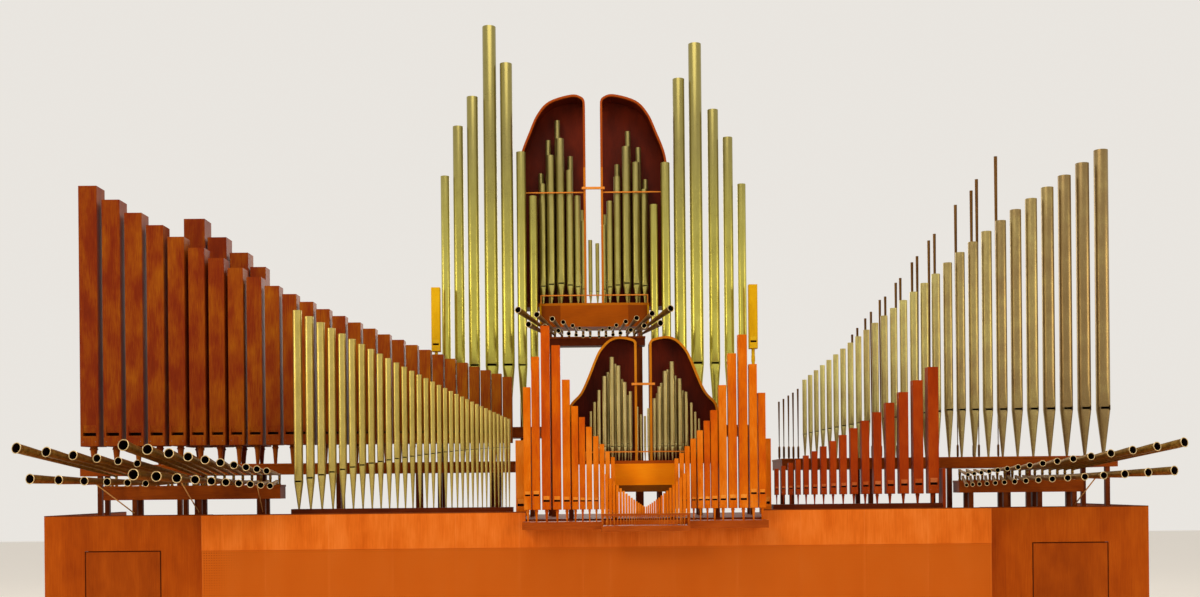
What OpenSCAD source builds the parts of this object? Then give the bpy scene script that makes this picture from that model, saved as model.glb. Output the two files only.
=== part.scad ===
// Concert hall pipe organ on its timber platform.
// Millimetres, Z up. Origin: middle of the bottom of the front wall.
// Heights of pipes and chests count from the parapet top unless they say otherwise.

/* [Platform] */
// Floor to the top of the parapet
platform_h = 2850; // [2600:10:3200]
// Half width of the front centre wall
centre_half_w = 7580; // [7300:10:7900]
// Width of each side wall beyond the front centre wall
side_wall_w = 3120; // [2900:10:3500]
// Depth from the middle of the front wall to the back
platform_depth = 4400; // [4200:10:5000]
// How far the side walls lie behind the front wall
side_setback = 250; // [150:10:400]
// Wall thickness
wall_t = 120; // [100:5:160]
// Height of the plain fascia at the top of the walls
fascia_h = 690; // [600:10:760]
// Step from the fascia back to the lower panels
panel_step = 15; // [5:1:30]
// How far the deck lies below the parapet top
deck_drop = 150; // [100:10:250]
// Deck thickness
deck_t = 160; // [100:10:220]

/* [Doors] */
// Middle of each doorway from the end of the front wall
door_in = 1600; // [1400:10:1750]
// Clear width of each doorway
doorway_w = 1480; // [1200:10:1700]
// Door leaf thickness
leaf_t = 45; // [35:1:60]
// Gap between a leaf and what surrounds it
leaf_gap = 12; // [11:1:16]
// Radius of the pivot pins
pin_r = 8; // [6:0.5:10]
// Distance of the pivots from the leaf's hinge edge
pivot_in = 35; // [32:1:50]
// Running clearance round a pivot pin
pin_clear = 0.3; // [0.2:0.1:0.6]
// Length of a pivot pin inside the leaf
pin_reach = 30; // [20:1:60]
// Thickness of the pivot plates
pivot_plate_t = 6; // [4:0.5:6]

/* [Left wood basses] */
// Number of pipes
wood_n = 27; // [20:1:27]
// Place of the first pipe from the platform's left end
wood_in = 395; // [350:5:450]
// Place of the last pipe, left of the axis
wood_end = 1800; // [1750:10:2000]
// Each next spacing as a part of the one before
wood_pitch_k = 0.970; // [0.962:0.001:0.970]
// Width of the first pipe
wood_w = 376; // [300:1:400]
// Each next width as a part of the one before
wood_w_k = 0.9745; // [0.96:0.0005:0.975]
// Body length of the first pipe
wood_len = 5100; // [4600:10:5400]
// Middle of the row from the front wall
wood_y = 1700; // [1600:10:1800]
// Height of the pipe mouths
wood_mouth = 1595; // [1500:10:1700]
// Height of the lower block above its foot
wood_block = 215; // [180:5:300]

/* [Left metal principals] */
// Number of pipes
lmet_n = 32; // [24:1:32]
// Place of the first pipe from the end of the trumpet chest
lmet_in = 383; // [320:1:450]
// Place of the last pipe from the positive's outer pipe
lmet_end = 247; // [190:1:260]
// Each next spacing as a part of the one before
lmet_pitch_k = 0.9595; // [0.958:0.0005:0.9610]
// Diameter of the first pipe
lmet_d = 176; // [140:1:180]
// Steps in which the diameter halves
lmet_halve = 20; // [16:1:20]
// Body length of the first pipe
lmet_len = 3360; // [3000:10:3600]
// Middle of the row from the front wall
lmet_y = 450; // [400:10:520]
// Foot length of the first pipe
lmet_foot = 525; // [450:5:600]
// Foot length that the small pipes come near
lmet_foot_end = 1190; // [1000:10:1300]

/* [Right metal basses] */
// Number of pipes
rmet_n = 28; // [20:1:28]
// Place of the first pipe from the platform's right end
rmet_in = 310; // [290:5:400]
// Place of the last pipe from the yellow pipe
rmet_end = 953; // [850:1:1000]
// Each next spacing as a part of the one before
rmet_pitch_k = 0.9555; // [0.954:0.0005:0.957]
// Diameter of the first pipe
rmet_d = 280; // [220:1:320]
// Steps in which the diameter halves
rmet_halve = 16; // [14:1:17]
// Body length of the first pipe
rmet_len = 5330; // [4900:10:5600]
// Most that a body in the lowest octave is longer than the halving gives
rmet_swell = 105; // [0:5:150]
// Middle of the row from the front wall
rmet_y = 1600; // [1550:10:1700]
// Foot length of the large pipes
rmet_foot = 950; // [850:10:1000]
// Loss of foot length at each small pipe
rmet_foot_step = 27; // [15:1:30]

/* [Right wood flutes] */
// Number of pipes
rwood_n = 16; // [12:1:16]
// Place of the first pipe from the end of the trumpet chest
rwood_in = 530; // [480:5:600]
// Place of the last pipe from the positive's outer pipe
rwood_end = 251; // [230:1:300]
// Each next spacing as a part of the one before
rwood_pitch_k = 0.944; // [0.940:0.001:0.946]
// Width of the first pipe
rwood_w = 204; // [160:1:230]
// Body length of the first pipe
rwood_len = 2303; // [2100:10:2500]
// Middle of the row from the front wall
rwood_y = 500; // [450:10:560]

/* [Chests] */
// Top of the bass chests
chest_top = 1000; // [950:10:1050]
// Height of the bass chests
chest_h = 225; // [180:5:280]
// Top of the low toeboards
toe_top = 85; // [60:5:120]
// Top of the tower chests
tower_top = 1730; // [1650:10:1800]

/* [Towers] */
// Body length of the longest tower pipe
tower_len = 7200; // [6800:10:7500]
// Diameter of the longest tower pipe
tower_d = 285; // [240:1:300]
// Middle of the towers from the front wall
tower_y = 2600; // [2550:10:2700]
// Height of the tower pipes' mouths
tower_mouth = 3040; // [2950:10:3200]

/* [Upper case] */
// Bottom of the upper chest
ucase_z = 3885; // [3850:5:3980]
// Height of the upper chest
ucase_h = 510; // [460:10:560]
// Half width of the upper chest
ucase_half_w = 1175; // [1150:5:1240]
// Back panel's place from the front wall
ucase_y = 3420; // [3380:10:3500]
// Width of the rim round the wings
rim_w = 45; // [30:1:60]
// Body length of the longest pipe in the upper case
ucase_len = 3320; // [3000:10:3450]

/* [Lower positive] */
// Axis of the lower positive
pos_x = 920; // [850:10:950]
// How far the axis of the hood lies right of that
hood_off = 10; // [0:1:60]
// Middle of the wood row, in front of the front wall
pos_wood_y = -500; // [-560:10:-440]
// Middle of the small front row, in front of the front wall
pos_front_y = -760; // [-800:10:-720]
// Top of the side shelves
pos_shelf_z = -186; // [-200:1:-170]
// Top of the centre shelf
pos_centre_z = -265; // [-290:1:-240]
// Bottom of the pipe blocks above the side shelves
pos_block_z = 40; // [20:5:80]
// Half width of the positive's chest
pos_chest_half_w = 610; // [580:5:640]
// Pipes on each side of the small front row
pos_front_n = 16; // [12:1:16]

/* [Horizontal trumpets] */
// Top of the left trumpet chest
lhorn_top = 565; // [540:5:600]
// Top of the right trumpet chest
rhorn_top = 520; // [500:5:560]
// Top of the centre trumpet chest
chorn_top = 3590; // [3580:10:3660]
// Wall of a trumpet
horn_t = 3; // [2:0.5:4]
// Radius of a trumpet's boot
boot_r = 30; // [24:1:32]
// Radius of a trumpet at its root
horn_root_r = 22; // [14:1:24]

/* [Hidden] */
$fn = 32;

wood_red = "#8a3c14";
wood_orange = "#d8691f";
wood_flame = "#e07510";
wood_crimson = "#a83c0c";
tin_left = "#b9b083";
tin_right = "#a09070";
tin_green = "#b8b468";
brass_dark = "#6b5430";
case_dark = "#3a0c02";

zp = platform_h;
deck_z = zp - deck_drop;
wall_half = wall_t / 2;
side_y = side_setback - wall_half;
side_back_y = side_y + wall_t;
panel_top = zp - fascia_h;
platform_half_w = centre_half_w + side_wall_w;
inner_half = platform_half_w - wall_t;
door_x = centre_half_w + door_in;
// First and last roots of the trumpet fans, from the platform's nearer end
outer_root = [1170, 2550];
inner_root = [2770, 4410];
right_root = [1230, 3470];
// Ends of the trumpet chests
lhorn_x0 = outer_root[0] - 140 - platform_half_w;
lhorn_x1 = inner_root[1] + 90 - platform_half_w;
rhorn_x0 = platform_half_w - right_root[1] - 100;
rhorn_x1 = platform_half_w - right_root[0] + 100;
// Middles of the outer pipes of the positive and of the yellow pipes beside the towers
pos_outer_x = 2370;
yellow_x = 3330;
// First pipe of each rank
wood_x0 = -platform_half_w + wood_in;
lmet_x0 = lhorn_x1 + lmet_in;
rmet_x0 = platform_half_w - rmet_in;
rwood_x0 = rhorn_x0 - rwood_in;

// Where pipe n stands when each spacing is the last one times k
function row(x0, pitch, k, n) = x0 + pitch * (1 - pow(k, n)) / (1 - k);
// First spacing of n pipes that fill a length
function spacing(length, k, n) = length * (1 - k) / (1 - pow(k, n - 1));
// A size that halves every h steps
function halving(a, n, h) = a * pow(2, -n / h);

// Metal flue pipe, toe at the origin, mouth towards -Y
module flue(len, d, foot, t = 3) {
    r = d / 2;
    toe = r * 0.16 + 4;
    lip = d * 0.22;
    difference() {
        rotate_extrude()
            polygon([[0, 0], [toe, 0], [r, foot], [r, foot + len], [r - t, foot + len],
                     [r - t, foot + t], [0, foot + t]]);
        translate([-0.34 * d, -r - 1, foot + t])
            cube([0.68 * d, 0.42 * r + 1, lip]);
    }
}

// Square wood pipe, toe at the origin, mouth towards -Y
module wood_flue(len, w, depth, foot, block, t) {
    foot_r = w * 0.2;
    cylinder(h = foot, r1 = foot_r * 0.55, r2 = foot_r);
    difference() {
        translate([-w / 2, -depth / 2, foot])
            cube([w, depth, block + len]);
        translate([-w / 2 + t, -depth / 2 + t, foot + block])
            cube([w - 2 * t, depth - 2 * t, len + 1]);
        translate([-w * 0.36, -depth / 2 - 1, foot + block])
            cube([w * 0.72, t + 2, w * 0.24]);
    }
}

// Trumpet on an upright boot, from its root to its bell
module horn(root, tip, r_tip, boot_h) {
    v = tip - root;
    len = norm(v);
    bell = len * 0.05 + r_tip * 0.6;
    r0 = horn_root_r;
    r1 = r_tip * 0.84;
    translate(root) {
        translate([0, 0, -boot_h])
            cylinder(h = boot_h + 26, r = boot_r);
        rotate([0, acos(v[2] / len), atan2(v[1], v[0])])
            rotate_extrude()
                polygon([[0, 0], [r0, 0], [r1, len - bell], [r_tip, len], [r_tip - horn_t, len],
                         [r1 - horn_t, len - bell], [r0 - horn_t, 60], [0, 60]]);
    }
}

// Points of a smooth line through p, with m steps between two points
function at(p, i) = p[max(0, min(len(p) - 1, i))];
function spline(p, m) = [
    for (i = [0:len(p) - 2]) for (j = [0:m - 1])
        let (t = j / m, a = at(p, i - 1), b = p[i], c = p[i + 1], d = at(p, i + 2))
        0.5 * (2 * b + (c - a) * t + (2 * a - 5 * b + 4 * c - d) * t * t
               + (3 * b - a - 3 * c + d) * t * t * t),
    p[len(p) - 1]
];
// The same line moved sideways by w
function beside(q, w) = [
    for (i = [0:len(q) - 1])
        let (v = at(q, i + 1) - at(q, i - 1), u = v / norm(v))
        q[i] + w * [u[1], -u[0]]
];

// Platform

module wall_run(x0, x1, y0, z0, z1) {
    translate([x0, y0, z0])
        cube([x1 - x0, wall_t, z1 - z0]);
}

// The parapet is cut down behind the lower positive
module front_wall() color(wood_orange) {
    difference() {
        wall_run(-centre_half_w, centre_half_w, -wall_half, panel_top, zp);
        translate([pos_x - shelf_out + notch_in, -wall_t, zp + pos_shelf_z])
            cube([2 * (shelf_out - notch_in), 2 * wall_t, 1 - pos_shelf_z]);
    }
    translate([-centre_half_w, panel_step - wall_half, 0])
        cube([2 * centre_half_w, wall_t - panel_step, panel_top]);
    for (s = [-1, 1])
        translate([s * (centre_half_w - wall_half) - wall_half, wall_half, 0])
            cube([wall_t, side_y - wall_half, zp]);
}

// Right-hand side wall pieces, mirrored for the left
module side_fascia() {
    wall_run(centre_half_w - wall_t, platform_half_w, side_y, panel_top, zp);
}
module side_inner() {
    wall_run(centre_half_w - wall_t, door_x - doorway_w / 2, side_y, 0, panel_top);
}
module side_outer() {
    wall_run(door_x + doorway_w / 2, platform_half_w, side_y, 0, panel_top);
}

module side_fascias() color(wood_orange)
    for (s = [0, 1]) mirror([s, 0, 0]) side_fascia();
module side_piers() color(wood_orange)
    for (s = [0, 1]) mirror([s, 0, 0]) {
        side_inner();
        side_outer();
    }

module end_wall() {
    translate([inner_half, side_back_y, 0])
        cube([wall_t, platform_depth - wall_t - side_back_y, zp]);
}
module end_walls() color(wood_orange)
    for (s = [0, 1]) mirror([s, 0, 0]) end_wall();

module back_wall() color(wood_orange)
    translate([-platform_half_w, platform_depth - wall_t, 0])
        cube([2 * platform_half_w, wall_t, deck_z - deck_t]);

module deck() color(wood_orange)
    translate([0, 0, deck_z - deck_t])
        linear_extrude(deck_t)
            polygon([
                [-centre_half_w + wall_t, wall_half], [centre_half_w - wall_t, wall_half],
                [centre_half_w - wall_t, side_back_y], [inner_half, side_back_y],
                [inner_half, platform_depth], [-inner_half, platform_depth],
                [-inner_half, side_back_y], [-centre_half_w + wall_t, side_back_y]
            ]);

// Doors: one wide leaf in each doorway, on a pivot in the floor and one under the fascia

leaf_z0 = leaf_gap;
leaf_z1 = panel_top - leaf_gap;
leaf_w = doorway_w - 2 * leaf_gap;
pivot_x = leaf_gap + pivot_in;
pivot_y = side_y + leaf_t / 2;
plate_w = leaf_t - 10;
pin_h = leaf_gap + pin_reach;

// Leaf of the left doorway: its hinge is at its -X edge, with that jamb at x = 0
module leaf() {
    bore_h = pin_reach + leaf_gap / 2;
    difference() {
        translate([leaf_gap, side_y, leaf_z0])
            cube([leaf_w, leaf_t, leaf_z1 - leaf_z0]);
        for (z = [leaf_z0 - 1, leaf_z1 + 1 - bore_h])
            translate([pivot_x, pivot_y, z])
                cylinder(h = bore_h, r = pin_r + pin_clear);
    }
}

// Fixed pivots of the same leaf: a plate against the jamb and a pin on it
module leaf_pivots()
    for (top = [0, 1]) translate([0, 0, top * panel_top]) mirror([0, 0, top]) {
        translate([0, pivot_y - plate_w / 2, 0])
            cube([pivot_x + plate_w / 2, plate_w, pivot_plate_t]);
        translate([pivot_x, pivot_y, 0])
            cylinder(h = pin_h, r = pin_r);
    }

// Each leaf hangs at the outer jamb of its doorway
module at_jamb(right)
    mirror([right, 0, 0])
        translate([-door_x - doorway_w / 2, 0, 0])
            children();

module left_door_leaf() color(wood_orange) at_jamb(0) leaf();
module right_door_leaf() color(wood_orange) at_jamb(1) leaf();
module door_pivots() color("#4a4a4c")
    for (s = [0, 1]) at_jamb(s) leaf_pivots();

// Chests and trestles

// A chest, and the square posts under it that stand on the deck
leg = 90;
leg_in = 20;
module chest(x0, x1, y0, y1, top, h)
    translate([x0, y0, zp + top - h])
        cube([x1 - x0, y1 - y0, h]);
module posts(xs, y0, y1, z)
    for (x = xs) for (y = [y0 + leg_in, y1 - leg_in - leg])
        translate([x - leg / 2, y, deck_z])
            cube([leg, leg, zp + z - deck_z]);
function along(x0, x1, n) = [for (i = [0:n - 1]) x0 + i * (x1 - x0) / (n - 1)];

// A low board on the deck
module toeboard(x0, x1, y0, y1)
    translate([x0, y0, deck_z])
        cube([x1 - x0, y1 - y0, zp + toe_top - deck_z]);
module toeboards() color(wood_orange) {
    toeboard(lmet_x0 - lmet_d / 2 - 40, lmet_x1 + 70, lmet_y - 130, lmet_y + 150);
    toeboard(rwood_x1 - 90, rwood_x0 + rwood_w / 2 + 40, rwood_y - 150, rwood_y + 170);
}

// Left side

wood_foot = wood_mouth - wood_block - chest_top;
wood_pitch = spacing(-wood_end - wood_x0, wood_pitch_k, wood_n);
module left_wood_pipes() color(wood_red) {
    for (n = [0:wood_n - 1])
        let (w = wood_w * pow(wood_w_k, n))
        translate([row(wood_x0, wood_pitch, wood_pitch_k, n), wood_y, zp + chest_top])
            wood_flue(halving(wood_len, n, 12), w, w * 1.2, wood_foot, wood_block, 12 + w * 0.04);
    for (p = back_wood)
        translate([wood_x0 + p[0], back_wood_y, zp + chest_top])
            wood_flue(p[1], p[2], p[2] * 1.1, wood_foot, wood_block, 26);
}

wood_x1 = -wood_end + wood_w * pow(wood_w_k, wood_n - 1) / 2;
wood_left = wood_x0 - wood_w / 2;
// Basses behind: distance from the first pipe, body length, width
back_wood = [[1870, 4610, 440], [2340, 4220, 400], [2800, 3890, 390], [3190, 3590, 330]];
back_wood_y = 2700;
wood_chest_half = 260;
back_chest_half = 270;
back_chest = [wood_x0 + back_wood[0][0] - 280, wood_x0 + back_wood[3][0] + 230];
module left_wood_chests() color(wood_red) {
    chest(wood_left, wood_x1 + 60, wood_y - wood_chest_half, wood_y + wood_chest_half, chest_top, chest_h);
    chest(back_chest[0], back_chest[1], back_wood_y - back_chest_half, back_wood_y + back_chest_half,
          chest_top, chest_h);
}

lmet_x1 = pos_x - pos_outer_x - lmet_end;
lmet_pitch = spacing(lmet_x1 - lmet_x0, lmet_pitch_k, lmet_n);
module left_metal_pipes() color(tin_left)
    for (n = [0:lmet_n - 1])
        translate([row(lmet_x0, lmet_pitch, lmet_pitch_k, n), lmet_y, zp + toe_top])
            flue(halving(lmet_len, n, 12), halving(lmet_d, n, lmet_halve),
                 lmet_foot_end - (lmet_foot_end - lmet_foot) * pow(0.9, n));

// Right side

rmet_x1 = yellow_x + rmet_end;
rmet_pitch = spacing(rmet_x0 - rmet_x1, rmet_pitch_k, rmet_n);
module right_metal_pipes() color(tin_right)
    for (n = [0:rmet_n - 1])
        translate([rmet_x0 - row(0, rmet_pitch, rmet_pitch_k, n), rmet_y, zp + chest_top])
            flue(halving(rmet_len, n, 12) + (n < 11 ? rmet_swell * sin(18 * (n - 1)) : 0),
                 halving(rmet_d, n, rmet_halve),
                 rmet_foot - rmet_foot_step * max(0, n - 10));

// Reeds behind: place in thousandths of the metal row's length, and top
reed_y = 2600;
reeds = [
    [302, 7390], [369, 6910], [388, 6670], [443, 6370], [517, 5760], [537, 5620],
    [578, 5290], [596, 5160], [637, 4830], [653, 4730], [690, 4440], [709, 4370],
    [740, 4120], [760, 3980], [788, 3780], [806, 3640],
    [997, 2500], [1014, 2420], [1030, 2360], [1047, 2290], [1063, 2230]
];
function reed_x(i) = rmet_x0 - (rmet_x0 - rmet_x1) * reeds[i][0] / 1000;
reed_boot = 260;
// Slender tapered reed in its boot
module reed(h) {
    r = 16 + h * 0.0032;
    rotate_extrude()
        polygon([[0, 0], [11, 0], [24, 60], [24, reed_boot], [9, reed_boot + 30],
                 [r, h], [r - 3, h], [6, reed_boot + 50], [0, reed_boot + 50]]);
}
module right_reeds() color(tin_right)
    for (i = [0:len(reeds) - 1])
        translate([reed_x(i), reed_y, zp + chest_top])
            reed(reeds[i][1] - chest_top);

right_chest_x0 = reed_x(len(reeds) - 1) - 120;
right_chest_x1 = rmet_x0 + rmet_d / 2 + 60;
right_chest_y0 = rmet_y - 230;
right_chest_y1 = reed_y + 200;
module right_chest() color(wood_red)
    chest(right_chest_x0, right_chest_x1, right_chest_y0, right_chest_y1, chest_top, chest_h);

rwood_x1 = pos_x + pos_outer_x + rwood_end;
rwood_pitch = spacing(rwood_x0 - rwood_x1, rwood_pitch_k, rwood_n);
rwood_foot = 185;
rwood_block = 170;
module right_wood_pipes() color(wood_crimson)
    for (n = [0:rwood_n - 1])
        let (w = rwood_w * pow(0.94, n))
        translate([rwood_x0 - row(0, rwood_pitch, rwood_pitch_k, n), rwood_y, zp + toe_top])
            wood_flue(halving(rwood_len, n, 6), w, w * 1.2, rwood_foot, rwood_block * pow(0.97, n), 8 + w * 0.04);

// Narrow upright board beside the largest flute
end_board_h = 760;
module right_toeboard_end() color(wood_crimson)
    translate([rwood_x0 + rwood_w / 2 + 60, rwood_y - 150, deck_z])
        cube([60, 320, zp - deck_z + end_board_h]);

// Towers

tower_x = [1280, 1530, 1830, 2180, 2550, 2860, 3145];
tower_step = [12, 8, 2, 0, 4, 6, 10];
tower_foot = tower_mouth - tower_top;
module tower_pipes() color(tin_green)
    for (s = [0, 1]) for (i = [0:6])
        let (n = tower_step[i] + s)
        translate([(2 * s - 1) * tower_x[i], tower_y, zp + tower_top])
            flue(halving(tower_len, n, 12), halving(tower_d, n, 16), tower_foot, 4);

yellow_w = 180;
yellow_y = 2330;
tower_chest_y0 = yellow_y - 140;
tower_chest_y1 = tower_y + 230;
module tower_chests() color(wood_red)
    for (s = [0, 1]) mirror([s, 0, 0])
        chest(tower_x[0] - 150, yellow_x + 140, tower_chest_y0, tower_chest_y1, tower_top, chest_h);

yellow_bottom = 3330;
yellow_top = 4675;
module yellow_pipes() color("#c8a028")
    for (s = [-1, 1])
        translate([s * yellow_x, yellow_y, zp + tower_top])
            wood_flue(yellow_top - yellow_bottom - 130, yellow_w, yellow_w,
                      yellow_bottom - tower_top, 130, 14);

// Upper case

ucase_top = ucase_z + ucase_h;
ucase_front = ucase_y - 620;
ucase_back = ucase_y + 100;
facet_half_w = 725;
facet_back = 60;
module upper_chest() color(wood_red)
    translate([0, 0, zp + ucase_z])
        linear_extrude(ucase_h)
            polygon([
                [-ucase_half_w, ucase_back], [-ucase_half_w, ucase_front + facet_back],
                [-facet_half_w, ucase_front], [facet_half_w, ucase_front],
                [ucase_half_w, ucase_front + facet_back], [ucase_half_w, ucase_back]
            ]);

// Right wing's outer line, from the foot of its inner post over the top and down
upper_line = [[162, 0], [162, 4305], [220, 4405], [445, 4465], [925, 4325], [1186, 4050],
              [1358, 3675], [1555, 3135], [1620, 2435], [1620, 0]];
uw = [for (p = upper_line) [p[0], p[1] + ucase_top]];
function wing(l) = concat([l[0]], spline([for (i = [1:len(l) - 2]) l[i]], 5), [l[len(l) - 1]]);
wing_t = 25;
shell_t = 20;
rim_d = 60;
upper_rim_y = ucase_front + 45;

// Back board of a wing at y, and its curved roof and side from there forward to the back of the rim
module wing_panel(l, y, y0) {
    w = wing(l);
    r = beside(w, shell_t);
    translate([0, y + wing_t / 2, 0])
        rotate([90, 0, 0]) {
            linear_extrude(wing_t)
                polygon(w);
            linear_extrude(y + wing_t / 2 - y0)
                polygon(concat([for (i = [1:len(w) - 1]) w[i]], [for (i = [len(r) - 1:-1:1]) r[i]]));
        }
}

module wing_rim(l, y)
    translate([0, y + rim_d / 2, 0])
        rotate([90, 0, 0])
            linear_extrude(rim_d)
                let (q = wing(l), r = beside(q, rim_w))
                polygon(concat(q, [for (i = [len(r) - 1:-1:0]) r[i]]));

module upper_wings() color(case_dark)
    for (s = [0, 1]) mirror([s, 0, 0]) translate([0, 0, zp])
        wing_panel(uw, ucase_y, upper_rim_y + rim_d / 2);
module upper_rims() color(wood_orange)
    for (s = [0, 1]) mirror([s, 0, 0]) translate([0, 0, zp]) wing_rim(uw, upper_rim_y);

// Beams that carry the outer feet of the wings and rims
beam_h = 80;
beam_x1 = 1640;
beam_post_x = 1560;
beam_y0 = upper_rim_y - rim_d / 2;
beam_y1 = ucase_y + 70;
module upper_beams() color(wood_red)
    for (s = [-1, 1])
        translate([s > 0 ? ucase_half_w : -beam_x1, beam_y0, zp + ucase_top - beam_h])
            cube([beam_x1 - ucase_half_w, beam_y1 - beam_y0, beam_h]);

upper_x = [75, 210, 345, 510, 710, 920, 1098];
upper_step = [19, 14, 9, 5, 1, 3, 7];
upper_pipe_y = ucase_y - 420;
module upper_pipes() color(tin_green) {
    for (s = [0, 1]) for (i = [0:6])
        let (n = upper_step[i] + s)
        translate([(2 * s - 1) * upper_x[i], upper_pipe_y, zp + ucase_top])
            flue(halving(ucase_len, n, 12), halving(185, n, 17), 440 - n * 9);
    for (p = upper_back)
        translate([p[0], upper_back_y, zp + ucase_top])
            flue(p[1] - ucase_top - 480, 120, 480);
}

// Second row behind: place and top
upper_back = [[-1130, 7260], [-970, 7980], [-770, 8410], [-495, 7628], [-260, 6460],
              [260, 6360], [525, 7443], [760, 8160], [983, 7807], [1130, 7111]];
upper_back_y = ucase_y - 200;
// The yoke in front of the two inner posts, and the thin rails behind the rims
yoke_z = 6848;
rail_z = 6765;
rail_t = 24;
foot_rail_z = ucase_top + 187;
foot_rail_x = ucase_half_w - 20;
module upper_rails() color(wood_orange) {
    rail_y = upper_rim_y + rim_d / 2;
    translate([-245, upper_rim_y - rim_d / 2 - 40, zp + yoke_z - 25])
        cube([490, 40, 50]);
    for (s = [-1, 1])
        translate([s * 885 - 710, rail_y, zp + rail_z])
            cube([1420, rail_t, rail_t]);
    translate([-foot_rail_x, rail_y, zp + foot_rail_z - rail_t])
        cube([2 * foot_rail_x, rail_t, rail_t]);
    for (s = [-1, 1])
        translate([s * (foot_rail_x - rail_t / 2) - rail_t / 2, rail_y, zp + ucase_top])
            cube([rail_t, rail_t, foot_rail_z - ucase_top]);
}

// Horizontal trumpets

function mix(a, b, t) = a + (b - a) * t;
// Share of the way along a fan when each step is the last one times k
function share(i, n, k) = (1 - pow(k, i)) / (1 - pow(k, n - 1));

// One row of trumpets: n boots between two roots and n bells between two tips
module fan(n, k, root_a, root_b, tip_a, tip_b, r_a, r_b, boot_h, curve = 0)
    for (i = [0:n - 1])
        let (t = n > 1 ? share(i, n, k) : 0)
        horn(mix(root_a, root_b, i / (n - 1)), mix(tip_a, tip_b, t) + [0, 0, -curve * t * (1 - t)],
             mix(r_a, r_b, t), boot_h);

// Left: an outer and an inner fan, each of two rows. X counts from the platform's left end
lhorn_y = 620;
lhorn_back_y = 840;
low_boot = 70;
high_boot = 200;
module left_trumpets() color(brass_dark)
    translate([-platform_half_w, 0, zp]) {
        zl = lhorn_top + low_boot;
        zh = lhorn_top + high_boot;
        fan(6, 0.90, [outer_root[0], lhorn_back_y, zh], [outer_root[1], lhorn_back_y, zh],
            [307, -1700, 1264], [2301, -1200, 975], 106, 72, high_boot);
        fan(6, 0.90, [outer_root[0], lhorn_y, zl], [outer_root[1], lhorn_y, zl],
            [549, -1700, 706], [2453, -1200, 607], 96, 66, low_boot);
        fan(10, 0.90, [inner_root[0], lhorn_back_y, zh], [inner_root[1], lhorn_back_y, zh],
            [2302, -1900, 1292], [4619, -1000, 818], 108, 64, high_boot);
        fan(10, 0.90, [inner_root[0], lhorn_y, zl], [inner_root[1], lhorn_y, zl],
            [2475, -1900, 766], [4681, -1000, 540], 104, 60, low_boot);
    }
horn_chest_h = 275;
horn_chest_y0 = 520;
horn_chest_y1 = 960;
lhorn_posts = [for (x = [1630, 2900, 4150]) x - platform_half_w];
rhorn_posts = [for (x = [3330, 2650, 1980, 1300]) platform_half_w - x];
lhorn_under = lhorn_top - horn_chest_h;
rhorn_under = rhorn_top - horn_chest_h + 35;
module trumpet_chests() color(wood_red) {
    chest(lhorn_x0, lhorn_x1, horn_chest_y0, horn_chest_y1, lhorn_top, lhorn_top - lhorn_under);
    chest(rhorn_x0, rhorn_x1, horn_chest_y0, horn_chest_y1, rhorn_top, rhorn_top - rhorn_under);
}

// X counts inwards from the platform's right end
module right_trumpets() color(brass_dark)
    translate([platform_half_w, 0, zp]) {
        zl = rhorn_top + low_boot;
        zh = rhorn_top + high_boot;
        fan(16, 0.905, [-right_root[0], lhorn_back_y, zh], [-right_root[1], lhorn_back_y, zh],
            [-140, -1700, 1166], [-3833, -1000, 626], 93, 40, high_boot);
        fan(16, 0.905, [-right_root[0], lhorn_y, zl], [-right_root[1], lhorn_y, zl],
            [-325, -1700, 660], [-3860, -1000, 434], 90, 38, low_boot);
    }

// Centre: two rows that spread like a smile, on their own chest
chorn_half_w = 1050;
chorn_y = 2240;
chorn_chest_h = 190;
chorn_chest_y0 = 2050;
chorn_chest_y1 = 2420;
chorn_high = [[1540, 4040], [1163, 3940], [850, 3850], [630, 3780], [440, 3710], [300, 3655], [160, 3620]];
chorn_low = [[1330, 3745], [1000, 3695], [730, 3610], [520, 3550], [370, 3520], [230, 3495], [90, 3480]];
module centre_trumpets() color(brass_dark)
    for (s = [-1, 1]) for (i = [0:6])
        let (x = mix(980, 90, i / 6), r = 75 * pow(0.87, i)) {
            horn([s * x, chorn_y + 110, zp + chorn_top + 160], [s * chorn_high[i][0], 1150, zp + chorn_high[i][1]],
                 r, 160);
            horn([s * x, chorn_y - 110, zp + chorn_top + 50], [s * chorn_low[i][0], 1150, zp + chorn_low[i][1]],
                 r * 0.9, 50);
        }
module centre_trumpet_chest() color(wood_red)
    chest(-chorn_half_w, chorn_half_w, chorn_chest_y0, chorn_chest_y1, chorn_top, chorn_chest_h);

// Lower positive, in front of the front wall and just behind it

shelf_t = 144;
centre_shelf_t = 102;
shelf_in = 825;
shelf_out = 2310;
notch_in = 30;
module positive_shelves() color(wood_orange)
    translate([pos_x, 0, zp]) {
        for (s = [-1, 1])
            translate([s > 0 ? shelf_in : -shelf_out, pos_wood_y - 150, pos_shelf_z - shelf_t])
                cube([shelf_out - shelf_in, -wall_half - pos_wood_y + 150, shelf_t]);
        translate([-shelf_in, pos_front_y - 110, pos_centre_z - centre_shelf_t])
            cube([2 * shelf_in, -wall_half - pos_front_y + 110, centre_shelf_t]);
    }

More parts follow.
